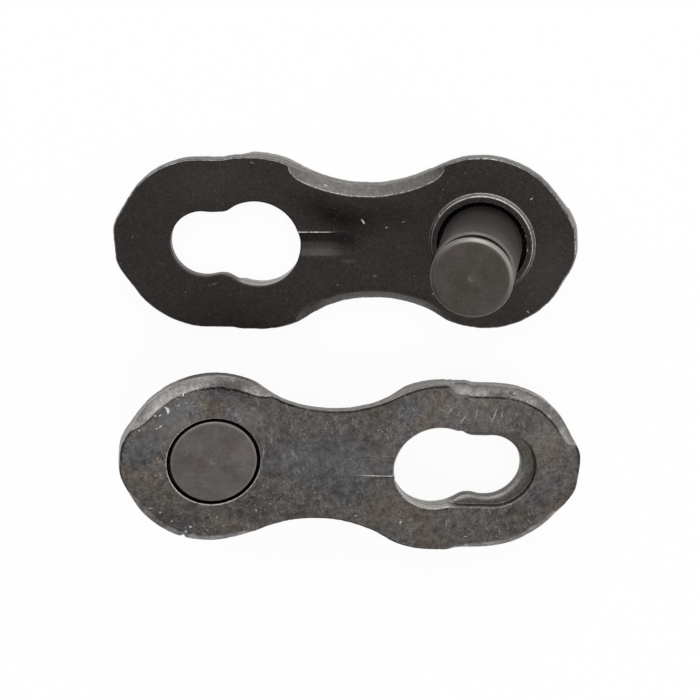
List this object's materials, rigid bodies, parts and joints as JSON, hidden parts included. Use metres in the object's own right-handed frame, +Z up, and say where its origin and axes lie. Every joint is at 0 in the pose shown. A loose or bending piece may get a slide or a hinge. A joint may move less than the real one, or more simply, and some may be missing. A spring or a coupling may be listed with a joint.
{
  "type": "chain connecting link",
  "caption": "Quick connecting link for a narrow bicycle chain, open: two like plates, each with a riveted grooved pin and a keyhole slot for the other's pin.",
  "frame": {"origin": "middle of the first plate's outer face, half way between its pin and its slot's seat, on the surface both halves lie on", "axes": "+X along the first plate towards its pin, +Z up along the first pin towards its free end, second half on the -Y side"},
  "size_m": [0.0212, 0.0186, 0.0071],
  "materials": {
    "plate_steel": "black-brown heat-treated steel, satin, with light worn edges and handling marks",
    "pin_steel": "dark grey turned steel, satin, faint turning rings on its ends"
  },
  "bodies": {
    "root": {"first_plate": "plate_steel", "first_pin": "pin_steel", "second_plate": "plate_steel", "second_pin": "pin_steel"}
  },
  "joints": []
}
